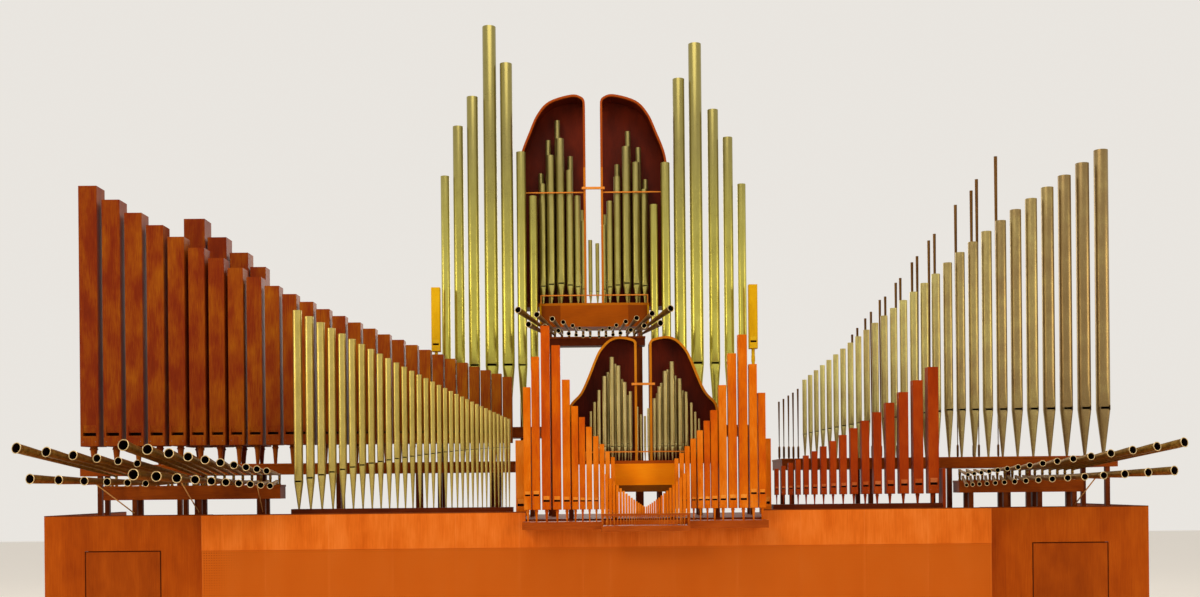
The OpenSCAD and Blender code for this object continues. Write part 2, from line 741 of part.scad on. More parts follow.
// Wood pipes outwards from the middle: place, width, left top, right top
pos_wood = [
    [600, 74, 1025, 985], [698, 84, 1128, 1088], [803, 92, 1268, 1214], [917, 100, 1418, 1355],
    [1045, 108, 1595, 1509], [1175, 112, 1777, 1688], [1310, 128, 1987, 1886], [1471, 146, 2485, 2355],
    [1654, 160, 3130, 2947], [1853, 166, 3500, 3298], [2045, 150, 2920, 2744], [2208, 138, 2350, 2204]
];
module positive_wood_pipes() color(wood_flame)
    for (s = [-1, 1]) for (i = [0:len(pos_wood) - 1])
        let (p = pos_wood[i], z = p[0] > shelf_in ? pos_shelf_z : pos_centre_z,
             rise = i > 9 ? 110 : 0, top = s < 0 ? p[2] : p[3], block = 150 + rise)
        translate([pos_x + s * p[0], pos_wood_y, zp + z])
            wood_flue(top - pos_block_z - block, p[1], p[1] * 1.2, pos_block_z - z, block, 7 + p[1] * 0.04);

module positive_outer_pipes() color(wood_orange)
    for (s = [-1, 1])
        translate([pos_x + s * pos_outer_x, 290, deck_z])
            wood_flue(s < 0 ? 1280 : 1270, 210, 210, 60, 190, 16);

pos_front_bottom = -110;
module positive_front_pipes() color(wood_flame)
    for (s = [-1, 1]) for (n = [0:pos_front_n - 1])
        let (w = 62 * pow(0.945, n))
        translate([pos_x + s * (row(-800, 75, 0.945, n) * -1), pos_front_y, zp + pos_centre_z])
            wood_flue(897 * pow(0.905, n) - 50, w, w * 1.15, pos_front_bottom - pos_centre_z, 50, 4 + w * 0.03);

// Rail across the front row, just in front of the pipes
front_rail_z = -60;
front_rail_t = 22;
module positive_front_rail() color(wood_red) {
    translate([pos_x - shelf_in, pos_front_y - 80, zp + front_rail_z - 20])
        cube([2 * shelf_in, front_rail_t, 40]);
    for (s = [-1, 1])
        translate([pos_x + s * (shelf_in - 12) - 12, pos_front_y - 80, zp + pos_centre_z])
            cube([24, front_rail_t, front_rail_z - 20 - pos_centre_z]);
}

pos_chest_top = 965;
pos_chest_h = 605;
pos_chest_y0 = 90;
pos_chest_y1 = 620;
module positive_chest() color(wood_red)
    translate([pos_x - pos_chest_half_w, pos_chest_y0, zp + pos_chest_top - pos_chest_h])
        cube([2 * pos_chest_half_w, pos_chest_y1 - pos_chest_y0, pos_chest_h]);

pos_wing_y = 560;
pos_side_x = 1460;
pos_board_h = 60;
hood_x = pos_x + hood_off;
pos_rim_y = pos_chest_y0 + 5 + rim_d / 2;
// Boards on both sides of the chest, for the outer pipes and the feet of the wings
module positive_side_boards() color(wood_red)
    for (s = [-1, 1])
        let (a = pos_x + s * pos_chest_half_w, b = hood_x + s * pos_side_x)
        translate([min(a, b), pos_chest_y0, zp + pos_chest_top - pos_board_h])
            cube([abs(b - a), pos_chest_y1 - pos_chest_y0, pos_board_h]);

pos_line = [[122, 0], [122, 2280], [192, 2350], [447, 2400], [650, 2340], [830, 2160], [935, 1960],
            [1080, 1600], [1220, 1310], [1420, 1076], [1460, 735], [1460, 0]];
pw = [for (p = pos_line) [p[0], p[1] + pos_chest_top]];
module positive_wings() color(case_dark)
    for (s = [0, 1]) translate([hood_x, 0, zp]) mirror([s, 0, 0])
        wing_panel(pw, pos_wing_y, pos_rim_y + rim_d / 2);
module positive_rims() color(wood_orange)
    for (s = [0, 1]) translate([hood_x, 0, zp]) mirror([s, 0, 0]) wing_rim(pw, pos_rim_y);

// Metal pipes in the hood: place, top, diameter
pos_metal = [
    [-1020, 1930, 50], [-945, 2110, 60], [-860, 2340, 71], [-752, 2610, 85], [-606, 2980, 96],
    [-477, 2810, 85], [-355, 2490, 78], [-246, 2310, 64], [-120, 2010, 50], [-45, 1860, 43],
    [31, 1830, 43], [100, 1980, 48], [215, 2170, 60], [311, 2400, 72], [429, 2700, 84],
    [563, 2880, 96], [713, 2550, 80], [838, 2290, 66], [938, 2080, 56], [1012, 1900, 50], [1086, 1770, 45]
];
pos_metal_foot = 270;
pos_metal_y = 250;
pos_bench_h = 70;
module positive_metal_pipes() color("#c8b878") {
    for (p = pos_metal)
        translate([hood_x + p[0], pos_metal_y, zp + pos_chest_top])
            flue(p[1] - pos_chest_top - pos_metal_foot, p[2], pos_metal_foot, 2.5);
    for (p = pos_back)
        translate([hood_x + p[0], pos_metal_y + 160, zp + pos_chest_top])
            flue(p[1] - pos_chest_top - 330, 72, 330, 2.5);
}

// Row behind: place and top
pos_back = [[-680, 2700], [-540, 2860], [-410, 2560], [-290, 2250], [290, 2280], [370, 2480],
            [495, 2740], [640, 2620], [780, 2330]];
pos_yoke_z = 2440;
pos_rail_x = 1130;
module positive_rails() color(wood_orange) {
    rail_y = pos_rim_y + rim_d / 2;
    translate([pos_x - pos_rail_x, rail_y, zp + pos_chest_top + 160])
        cube([2 * pos_rail_x, rail_t, rail_t]);
    for (s = [-1, 1])
        translate([pos_x + s * (pos_rail_x - rail_t / 2) - rail_t / 2, rail_y, zp + pos_chest_top])
            cube([rail_t, rail_t, 160]);
    translate([hood_x - 225, pos_rim_y - rim_d / 2 - 40, zp + pos_yoke_z - 22])
        cube([450, 40, 44]);
}

// Every square post that stands on the deck
module trestle_posts() color(wood_red) {
    posts(along(wood_left + 390, wood_x1 - 300, 6), wood_y - wood_chest_half, wood_y + wood_chest_half,
          chest_top - chest_h);
    posts([for (i = [0, 3]) wood_x0 + back_wood[i][0]], back_wood_y - back_chest_half, back_wood_y + back_chest_half,
          chest_top - chest_h);
    posts(along(right_chest_x0 + 200, right_chest_x1 - 200, 5), right_chest_y0, right_chest_y1,
          chest_top - chest_h);
    for (s = [-1, 1]) {
        posts([s * (tower_x[0] + 60), s * tower_x[3], s * (yellow_x - 60)], tower_chest_y0, tower_chest_y1,
              tower_top - chest_h);
        posts([s * (ucase_half_w - 200)], beam_y0, ucase_back, ucase_z);
        posts([s * beam_post_x], beam_y0, beam_y1, ucase_top - beam_h);
        posts([s * (chorn_half_w - 170)], chorn_chest_y0, chorn_chest_y1, chorn_top - chorn_chest_h);
        posts([pos_x + s * (pos_chest_half_w - leg / 2)], pos_chest_y0, pos_chest_y1,
              pos_chest_top - pos_chest_h);
        posts([hood_x + s * (pos_side_x - leg / 2)], pos_chest_y0, pos_chest_y1,
              pos_chest_top - pos_board_h);
    }
    posts(lhorn_posts, horn_chest_y0, horn_chest_y1, lhorn_under);
    posts(rhorn_posts, horn_chest_y0, horn_chest_y1, rhorn_under);
}

front_wall();
side_fascias();
side_piers();
end_walls();
back_wall();
deck();
door_pivots();
left_door_leaf();
right_door_leaf();
trestle_posts();
left_wood_pipes();
left_wood_chests();
left_metal_pipes();
toeboards();
right_metal_pipes();
right_reeds();
right_chest();
right_wood_pipes();
right_toeboard_end();
tower_pipes();
tower_chests();
yellow_pipes();
upper_chest();
upper_beams();
upper_wings();
upper_rims();
upper_pipes();
upper_rails();
centre_trumpets();
centre_trumpet_chest();
left_trumpets();
right_trumpets();
trumpet_chests();
positive_shelves();
positive_wood_pipes();
positive_outer_pipes();
positive_front_pipes();
positive_front_rail();
positive_chest();
positive_side_boards();
positive_metal_pipes();
positive_rails();
positive_wings();
positive_rims();
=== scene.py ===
"""Large pipe organ on its timber platform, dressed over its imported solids. Metres, Z up, front to -Y."""
import math

import bpy
import numpy as np
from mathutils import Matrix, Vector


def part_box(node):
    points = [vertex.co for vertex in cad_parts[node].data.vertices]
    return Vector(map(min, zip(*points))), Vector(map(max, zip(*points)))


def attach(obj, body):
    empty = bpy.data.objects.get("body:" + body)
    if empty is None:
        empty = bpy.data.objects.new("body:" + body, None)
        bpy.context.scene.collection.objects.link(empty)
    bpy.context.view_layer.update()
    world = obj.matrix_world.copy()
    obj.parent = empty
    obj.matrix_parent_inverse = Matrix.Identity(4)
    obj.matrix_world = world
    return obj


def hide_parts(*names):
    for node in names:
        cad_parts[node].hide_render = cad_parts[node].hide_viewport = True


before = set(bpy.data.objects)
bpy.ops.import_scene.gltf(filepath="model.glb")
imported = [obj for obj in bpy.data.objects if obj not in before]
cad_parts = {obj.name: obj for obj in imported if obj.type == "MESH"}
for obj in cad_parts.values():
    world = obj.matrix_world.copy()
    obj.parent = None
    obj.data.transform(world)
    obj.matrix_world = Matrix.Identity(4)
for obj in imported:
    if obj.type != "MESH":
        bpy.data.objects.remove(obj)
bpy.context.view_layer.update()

# Camera, floor and light. The organ is seen level from 25 m in front of the platform and
# half a metre above its parapet, on a pale studio floor in soft light from in front and both sides.
parapet_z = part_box("front_wall")[1][2]
viewer_y, above_parapet, roll = -25.0, 0.5, math.radians(0.55)
focal_px, picture_px, sensor_mm = 1300, 1200, 36.0
picture_right, picture_up = 0.0033, 0.1554
bpy.context.scene.view_settings.view_transform = "Standard"
camera = bpy.data.objects.new("camera", bpy.data.cameras.new("camera"))
bpy.context.scene.collection.objects.link(camera)
camera.location = (0.0, viewer_y, parapet_z + above_parapet)
camera.rotation_euler = (math.radians(90), roll, 0)
camera.data.lens, camera.data.sensor_width = sensor_mm * focal_px / picture_px, sensor_mm
camera.data.shift_x, camera.data.shift_y = picture_right, picture_up
camera.data.clip_end = 300
bpy.context.scene.camera = camera


def linear(code):
    """sRGB hex to linear: each channel c becomes ((c + 0.055) / 1.055) ** 2.4, or c / 12.92 near black."""
    c = np.array([int(code[i:i + 2], 16) for i in (1, 3, 5)]) / 255
    return (*np.where(c > 0.04045, ((c + 0.055) / 1.055) ** 2.4, c / 12.92), 1.0)


def add(tree, kind, sockets=None, stops=(), **settings):
    """Add one shader node: settings are its properties and sockets its input values or links. The stops of
    a colour ramp are pairs of a place from 0 to 1 and an sRGB hex."""
    n = tree.nodes.new("ShaderNode" + kind)
    for key, value in settings.items():
        setattr(n, key, value)
    for key, value in (sockets or {}).items():
        if isinstance(value, bpy.types.NodeSocket):
            tree.links.new(value, n.inputs[key])
        else:
            n.inputs[key].default_value = value
    if stops:
        for _ in stops[2:]:
            n.color_ramp.elements.new(1.0)
        for element, (place, code) in zip(n.color_ramp.elements, stops):
            element.position, element.color = place, linear(code)
    return n


def blank(name):
    """A material with only a Principled shader and its output."""
    m = bpy.data.materials.new(name)
    m.use_nodes = True
    return m, m.node_tree, m.node_tree.nodes["Principled BSDF"]


# Sockets of a colour Mix node: its factor, the colours at 0 and at 1, and the result.
FACTOR, UNDER, OVER, MIXED = 0, 6, 7, 2

paper, tree, shader = blank("studio_paper_matt")
fibre = add(tree, "TexNoise", {"Vector": add(tree, "TexCoord").outputs["Object"], "Scale": 0.4})
pale = add(tree, "Mix", {FACTOR: fibre.outputs["Fac"], UNDER: linear("#ece7df"), OVER: linear("#f1ede6")},
           data_type="RGBA")
tree.links.new(pale.outputs[MIXED], shader.inputs["Base Color"])
shader.inputs["Roughness"].default_value = 0.9
shader.inputs["Emission Color"].default_value = linear("#efeae2")
seen = add(tree, "LightPath").outputs["Is Camera Ray"]
glow = add(tree, "Math", {0: seen, 1: 0.32}, operation="MULTIPLY")
tree.links.new(glow.outputs[0], shader.inputs["Emission Strength"])
floor_x, floor_y = 90, 60
corners = [(-floor_x, -floor_y, 0), (floor_x, -floor_y, 0), (floor_x, floor_y, 0), (-floor_x, floor_y, 0)]
floor_mesh = bpy.data.meshes.new("studio_floor")
floor_mesh.from_pydata(corners, [], [(0, 1, 2, 3)])
floor_mesh.materials.append(paper)
floor = bpy.data.objects.new("studio_floor", floor_mesh)
bpy.context.scene.collection.objects.link(floor)

world = bpy.data.worlds.new("studio_air")
bpy.context.scene.world = world
world.use_nodes = True
tree = world.node_tree
ray = add(tree, "LightPath")
seen = add(tree, "Math", {0: ray.outputs["Is Camera Ray"], 1: ray.outputs["Is Glossy Ray"]},
           operation="MAXIMUM")
seen = add(tree, "Math", {0: seen.outputs[0], 1: ray.outputs["Is Transmission Ray"]}, operation="MAXIMUM")
air = add(tree, "Background", {"Color": linear("#fff6ea"), "Strength": 0.42})
backdrop = add(tree, "Background", {"Color": linear("#f2eee8"), "Strength": 0.92})
mixed = add(tree, "MixShader", {0: seen.outputs[0], 1: air.outputs[0], 2: backdrop.outputs[0]})
tree.links.new(mixed.outputs[0], tree.nodes["World Output"].inputs["Surface"])

organ_middle = np.array([0, 1, 6])
for name, place, width, watts, tint in (
        ("key", (-13, -22, 17), 9, 2250, "#fff2e0"),
        ("fill", (14, -22, 6), 8, 1200, "#ffeeda"),
        ("top", (0, -6, 22), 14, 1300, "#fff6ea"),
        ("left_side", (-24, -6, 9), 7, 850, "#fff0cc"),
        ("right_side", (24, -6, 9), 7, 620, "#fff0cc"),
        ("back", (0, 20, 12), 10, 800, "#fff6ea")):
    lamp = bpy.data.lights.new(name, "AREA")
    lamp.shape, lamp.size, lamp.energy, lamp.color = "DISK", width, watts, linear(tint)[:3]
    o = bpy.data.objects.new(name, lamp)
    bpy.context.scene.collection.objects.link(o)
    o.location = place
    o.visible_glossy = name not in ("key", "fill")
    aim = organ_middle - np.array(place)
    o.rotation_euler = (math.acos(-aim[2] / np.linalg.norm(aim)), 0, math.atan2(-aim[0], aim[1]))


# Platform walls. Hollow platform of veneered panels: the centre has a plain bright fascia above drilled
# acoustic boards, the sides are one plain darker veneer, and a darker band runs along every top edge.
# The satin lacquer shows soft upright streaks and no clear reflections.
def timber(name, stops, grain_mm=9.0, board_mm=0.0, gloss=0.42, axis="z", level=0.08):
    """Lacquered wood. Noise stretched along the grain gives streaks grain_mm wide, a slower noise clouds
    the colour, and each board_mm wide board has its own shade. A piece's tone attribute moves the colour
    along the stops, and its shade attribute darkens what lies inside. gloss is the lacquer's roughness,
    and level is how much light it throws back."""
    m, t, s = blank(name)
    where = add(t, "TexCoord").outputs["Object"]
    k = 1000 / grain_mm
    stretch = 0.035
    along = {"z": (k, k, k * stretch), "x": (k * stretch, k, k), "y": (k, k * stretch, k)}[axis]
    fine = add(t, "Mapping", {"Vector": where, "Scale": along})
    grain = add(t, "TexNoise", {"Vector": fine.outputs[0], "Scale": 1.0, "Detail": 5.0, "Roughness": 0.62})
    slow = add(t, "Mapping", {"Vector": where, "Scale": tuple(3.0 if v < k else 7.0 for v in along)})
    cloud = add(t, "TexNoise", {"Vector": slow.outputs[0], "Scale": 0.5, "Detail": 3.0})
    both = add(t, "Math", {0: grain.outputs["Fac"], 1: cloud.outputs["Fac"]}, operation="ADD")
    tone = add(t, "Math", {0: both.outputs[0], 1: 0.5}, operation="MULTIPLY")
    if board_mm:
        across = add(t, "SeparateXYZ", {"Vector": where}).outputs["X" if axis != "x" else "Y"]
        cell = add(t, "Math", {0: across, 1: 1000 / board_mm}, operation="MULTIPLY")
        cell = add(t, "Math", {0: cell.outputs[0]}, operation="FLOOR")
        own = add(t, "TexWhiteNoise", {"W": cell.outputs[0]}, noise_dimensions="1D")
        own = add(t, "MapRange", {"Value": own.outputs["Value"], "To Min": -0.055, "To Max": 0.055})
        tone = add(t, "Math", {0: tone.outputs[0], 1: own.outputs[0]}, operation="ADD")
    piece = add(t, "Attribute", attribute_name="tone")
    tone = add(t, "Math", {0: tone.outputs[0], 1: piece.outputs["Fac"]}, operation="ADD")
    inside = add(t, "Attribute", attribute_name="shade")
    colour = add(t, "ValToRGB", {"Fac": tone.outputs[0]}, stops=stops)
    deep = add(t, "Mix", {FACTOR: inside.outputs["Fac"], UNDER: colour.outputs["Color"],
                          OVER: linear("#240a02")}, data_type="RGBA")
    t.links.new(deep.outputs[MIXED], s.inputs["Base Color"])
    rough = add(t, "MapRange", {"Value": grain.outputs["Fac"], "To Min": gloss - 0.06,
                                "To Max": gloss + 0.1})
    t.links.new(rough.outputs[0], s.inputs["Roughness"])
    bump = add(t, "Bump", {"Height": grain.outputs["Fac"], "Strength": 0.15, "Distance": 0.002})
    t.links.new(bump.outputs[0], s.inputs["Normal"])
    s.inputs["Specular IOR Level"].default_value = level
    return m


def band(material, axis, low, high):
    """Factor 1 where the object's own coordinate lies between low and high: |coordinate - middle| is
    compared with half the width."""
    t = material.node_tree
    where = add(t, "TexCoord").outputs["Object"]
    place = add(t, "SeparateXYZ", {"Vector": where}).outputs[axis]
    return add(t, "Math", {0: place, 1: (low + high) / 2, 2: (high - low) / 2},
               operation="COMPARE").outputs[0]


def inlay(material, fac, code, strength=0.8):
    """Lay another wood over a material where fac is 1: strength is how much of it hides the first grain."""
    t = material.node_tree
    base = t.nodes["Principled BSDF"].inputs["Base Color"]
    part = add(t, "Math", {0: fac, 1: strength}, operation="MULTIPLY")
    both = add(t, "Mix", {FACTOR: part.outputs[0], UNDER: base.links[0].from_socket, OVER: linear(code)},
               data_type="RGBA")
    t.links.new(both.outputs[MIXED], base)


def dress(material, *nodes):
    """Give CAD nodes one material."""
    for n in nodes:
        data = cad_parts[n].data
        data.materials.clear()
        data.materials.append(material)


wall_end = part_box("front_wall")[1][0]
fascia_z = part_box("side_fascias")[0][2]
panel_w, panel_joint = 1.22, 0.008
top_edge_band = parapet_z - 0.018, parapet_z + 0.1
bright_veneer = timber("centre_wall_veneer_lacquered", [(0.3, "#cc5c0c"), (0.5, "#de6f1c"),
                       (0.72, "#ea8030")], grain_mm=14, board_mm=400, gloss=0.5)
t = bright_veneer.node_tree
where = add(t, "TexCoord").outputs["Object"]
# Joints between the panels, counted from the ends of the wall.
inwards = add(t, "Math", {0: add(t, "SeparateXYZ", {"Vector": where}).outputs["X"]}, operation="ABSOLUTE")
inwards = add(t, "Math", {0: wall_end, 1: inwards.outputs[0]}, operation="SUBTRACT")
joint = add(t, "Math", {0: inwards.outputs[0], 1: panel_w / 2}, operation="PINGPONG")
joint = add(t, "Math", {0: joint.outputs[0], 1: 0.0, 2: panel_joint / 2}, operation="COMPARE")
drilled = band(bright_veneer, "Z", -0.1, fascia_z - 0.001)
inlay(bright_veneer, drilled, "#c45e10", 0.75)
# Holes 16 mm apart in the real boards, drawn 48 mm apart to show.
hole_mm = 48
cells = add(t, "Mapping", {"Vector": where, "Scale": (1000 / hole_mm,) * 3})
holes = add(t, "TexVoronoi", {"Vector": cells.outputs[0], "Scale": 1.0, "Randomness": 0.0},
            distance="CHEBYCHEV")
hole = add(t, "MapRange", {"Value": holes.outputs["Distance"], "From Min": 0.15, "From Max": 0.22,
                           "To Min": 1.0, "To Max": 0.0})
hole = add(t, "Math", {0: hole.outputs[0], 1: drilled}, operation="MULTIPLY")
inlay(bright_veneer, hole.outputs[0], "#7c3004", 0.85)
inlay(bright_veneer, joint.outputs[0], "#e88a44", 0.45)
# A darker band runs along the top edge of the wall.
inlay(bright_veneer, band(bright_veneer, "Z", *top_edge_band), "#5a2406", 0.85)
dress(bright_veneer, "front_wall")

plain_veneer = timber("side_wall_veneer_lacquered", [(0.3, "#963c02"), (0.5, "#aa4a04"), (0.72, "#bc5a0c")],
                      grain_mm=14, board_mm=610, gloss=0.5)
# A darker band runs along the top edge of the side walls.
inlay(plain_veneer, band(plain_veneer, "Z", *top_edge_band), "#4c1e04", 0.85)
dress(plain_veneer, "side_fascias", "side_piers", "end_walls", "back_wall")


# Deck. Oiled softwood boards 140 mm wide on bearers inside the platform, laid from front to back a little
# below the top of the walls, so that the trestles of all the chests stand on it unseen. Oil leaves it matt.
deck_boards = timber("deck_boards_oiled", [(0.3, "#5a2408"), (0.5, "#78360e"), (0.7, "#8c4416")],
                     grain_mm=10, board_mm=140, gloss=0.55, axis="y")
dress(deck_boards, "deck")


# Doors. Each is one wide flush leaf of the side wall's veneer, hung on steel pivots in the floor and under
# the fascia, with a thin dark band of painted shadow round its edges for the gap around the leaf. They show
# no handles in front. The veneer is satin, and the brushed steel shows fine upright lines.
gap_shadow_width, past_end = 0.012, 0.01
for side in ("left", "right"):
    lo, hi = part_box(side + "_door_leaf")
    door_veneer = timber(side + "_door_veneer_lacquered", [(0.3, "#8a3802"), (0.5, "#9e4404"),
                         (0.72, "#b0520a")], grain_mm=12, board_mm=740, gloss=0.5)
    # Painted shadow: a dark band along each edge of the leaf stands in for the shade in the gap around it.
    for axis, k in (("X", 0), ("Z", 2)):
        inlay(door_veneer, band(door_veneer, axis, lo[k] - past_end, lo[k] + gap_shadow_width), "#421402", 0.9)
        inlay(door_veneer, band(door_veneer, axis, hi[k] - gap_shadow_width, hi[k] + past_end), "#421402", 0.9)
    dress(door_veneer, side + "_door_leaf")
steel, t, s = blank("pivot_steel_brushed")
s.inputs["Metallic"].default_value = 1.0
brushed = add(t, "Mapping", {"Vector": add(t, "TexCoord").outputs["Object"], "Scale": (900, 900, 60)})
brushed = add(t, "TexNoise", {"Vector": brushed.outputs[0], "Scale": 1.0, "Detail": 3.0})
grey = add(t, "ValToRGB", {"Fac": brushed.outputs["Fac"]}, stops=[(0.3, "#5c5c5e"), (0.7, "#8a8a8c")])
t.links.new(grey.outputs["Color"], s.inputs["Base Color"])
rough = add(t, "MapRange", {"Value": brushed.outputs["Fac"], "To Min": 0.28, "To Max": 0.45})
t.links.new(rough.outputs[0], s.inputs["Roughness"])
dress(steel, "door_pivots")


# Wind chests and trestles. Stained pine boxes on square posts that stand on the deck. The board that
# the pipes stand on closes each chest from above, and its edge stands a little proud all round. The stain
# leaves the pine dull, with darker grain along each board.
def solids(node):
    """The separate solids of a CAD node, as arrays of their corners sorted by X: points in one hundredth of
    a millimetre get one label, and every triangle's lowest label spreads until nothing changes."""
    per_metre = 1e5
    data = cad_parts[node].data
    co = np.empty(len(data.vertices) * 3)
    data.vertices.foreach_get("co", co)
    data.calc_loop_triangles()
    tri = np.empty(len(data.loop_triangles) * 3, int)
    data.loop_triangles.foreach_get("vertices", tri)
    whole = np.round(co.reshape(-1, 3) * per_metre).astype(np.int64)
    spots, same = np.unique(whole, axis=0, return_inverse=True)
    tri = same.reshape(-1)[tri].reshape(-1, 3)
    label = np.arange(len(spots))
    while True:
        low = label[tri].min(axis=1)
        new = label.copy()
        for c in range(3):
            np.minimum.at(new, tri[:, c], low)
        new = new[new]
        if (new == label).all():
            break
        label = new
    groups = [spots[label == k] / per_metre for k in np.unique(label)]
    return sorted(groups, key=lambda v: v[:, 0].mean())


def skin(name, grids, material, body="organ", sharp=32, node=(), tones=None, shades=None):
    """One mesh from tubes. Each grid is N tubes x R rings x S points: quads join ring to ring and point to
    point, the last point meets the first, and one flat face closes each end. tones and shades are one value
    for each point, which the materials read."""
    points, faces, extra, start = [], [], {"tone": [], "shade": []}, 0
    for g, grid in enumerate(grids):
        n, r, k = grid.shape[:3]
        label = np.arange(n * r * k).reshape(n, r, k) + start
        turned = np.roll(label, -1, axis=2)
        quads = np.stack([label[:, :-1], turned[:, :-1], turned[:, 1:], label[:, 1:]], -1)
        faces += quads.reshape(-1, 4).tolist()
        faces += label[:, 0, ::-1].tolist() + label[:, -1].tolist()
        points.append(grid.reshape(-1, 3))
        for key, values in (("tone", tones), ("shade", shades)):
            given = values[g] if values else 0.0
            extra[key].append(np.broadcast_to(given, (n, r, k)).reshape(-1))
        start += n * r * k
    data = bpy.data.meshes.new(name)
    data.from_pydata(np.concatenate(points).tolist(), [], faces)
    for key, values in extra.items():
        attribute = data.attributes.new(key, "FLOAT", "POINT")
        attribute.data.foreach_set("value", np.concatenate(values).astype(np.float32))
    data.polygons.foreach_set("use_smooth", np.ones(len(data.polygons), bool))
    data.set_sharp_from_angle(angle=math.radians(sharp))
    data.materials.append(material)
    data.update()
    o = bpy.data.objects.new(name, data)
    bpy.context.scene.collection.objects.link(o)
    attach(o, body)
    if node:
        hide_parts(*node)
    return o


def boards(lows, highs, bevel):
    """Boxes with eased edges: each is a tube of 5 rings along X whose section is a rectangle with cut
    corners, and the first and last rings are drawn in by the bevel."""
    lo, hi = np.atleast_2d(lows).astype(float), np.atleast_2d(highs).astype(float)
    b = np.minimum(bevel, (hi - lo).min(axis=1) * 0.3)[:, None]
    x0, x1 = lo[:, :1], hi[:, :1]
    along = np.concatenate([x0, x0 + b, (x0 + x1) / 2, x1 - b, x1], axis=1)
    inset = np.concatenate([b, 0 * b, 0 * b, 0 * b, b], axis=1)[:, :, None]
    cut = b[:, :, None] * np.ones_like(inset)
    y0, y1, z0, z1 = (v[:, None, None] for v in (lo[:, 1], hi[:, 1], lo[:, 2], hi[:, 2]))
    y_cuts, z_cuts = (y0 + cut, y1 - cut), (z0 + cut, z1 - cut)
    y_ends, z_ends = (y0 + inset, y1 - inset), (z0 + inset, z1 - inset)
    ys = np.concatenate([*y_cuts, y_ends[1], y_ends[1], *y_cuts[::-1], y_ends[0], y_ends[0]], axis=2)
    zs = np.concatenate([z_ends[0], z_ends[0], *z_cuts, z_ends[1], z_ends[1], *z_cuts[::-1]], axis=2)
    return np.stack([np.broadcast_to(along[:, :, None], ys.shape), ys, zs], -1)


chest_pine = timber("chest_pine_stained", [(0.3, "#6a2a04"), (0.5, "#8a3c04"), (0.7, "#a04c0a")], axis="x")
post_pine = timber("trestle_pine_stained", [(0.3, "#4c1c04"), (0.5, "#662a06"), (0.7, "#7c380c")],
                   grain_mm=8)
dark_pine = timber("toeboard_pine_stained", [(0.3, "#461604"), (0.5, "#5c2208"), (0.7, "#702e0c")],
                   axis="x")
pale_chests = "left_wood_chests", "right_chest", "tower_chests", "trumpet_chests"
dress(chest_pine, *pale_chests)
dress(post_pine, "trestle_posts", "upper_beams")
dress(dark_pine, "toeboards", "centre_trumpet_chest")

found = [v for n in (*pale_chests, "centre_trumpet_chest") for v in solids(n)]
lo, hi = np.array([v.min(0) for v in found]), np.array([v.max(0) for v in found])
proud, lap, board_t = 0.008, 0.002, 0.04
(left, front, _), (right, rear, top) = lo.T, hi.T
x0, x1 = left - proud, right + proud
y0, y1 = front - proud, rear + proud
z0, z1 = top - board_t, top - 0.001
lows = (x0, y0, z0), (x0, rear - lap, z0), (x0, y0, z0), (right - lap, y0, z0)
highs = (x1, front + lap, z1), (x1, y1, z1), (left + lap, y1, z1), (x1, y1, z1)
lows, highs = (np.concatenate([np.stack(v, -1) for v in group]) for group in (lows, highs))
chest_edges = timber("toeboard_edge_stained", [(0.3, "#743004"), (0.5, "#8c4008"), (0.7, "#a04e0e")],
                     grain_mm=7, axis="x")
skin("chest_toeboard_edges", [boards(lows, highs, 0.003)], chest_edges)


# Wood pipes. Square pipes of lacquered pine on turned feet: a block and its screwed cap close the lower
# end, the mouth is a slot cut through the front board, and its upper lip is planed thin and carries a
# painted highlight.
# The lacquer is satin, and the wood clouds lighter and darker along each pipe.
def scatter(n, seed, width):
    """n fixed pseudo-random tones between -width and width, from the fractions of a sine."""
    f = np.sin((np.arange(n) + 1) * 12.9898 + seed) * 43758.5453
    return (f - np.floor(f) - 0.5) * 2 * width


screw_heads = []


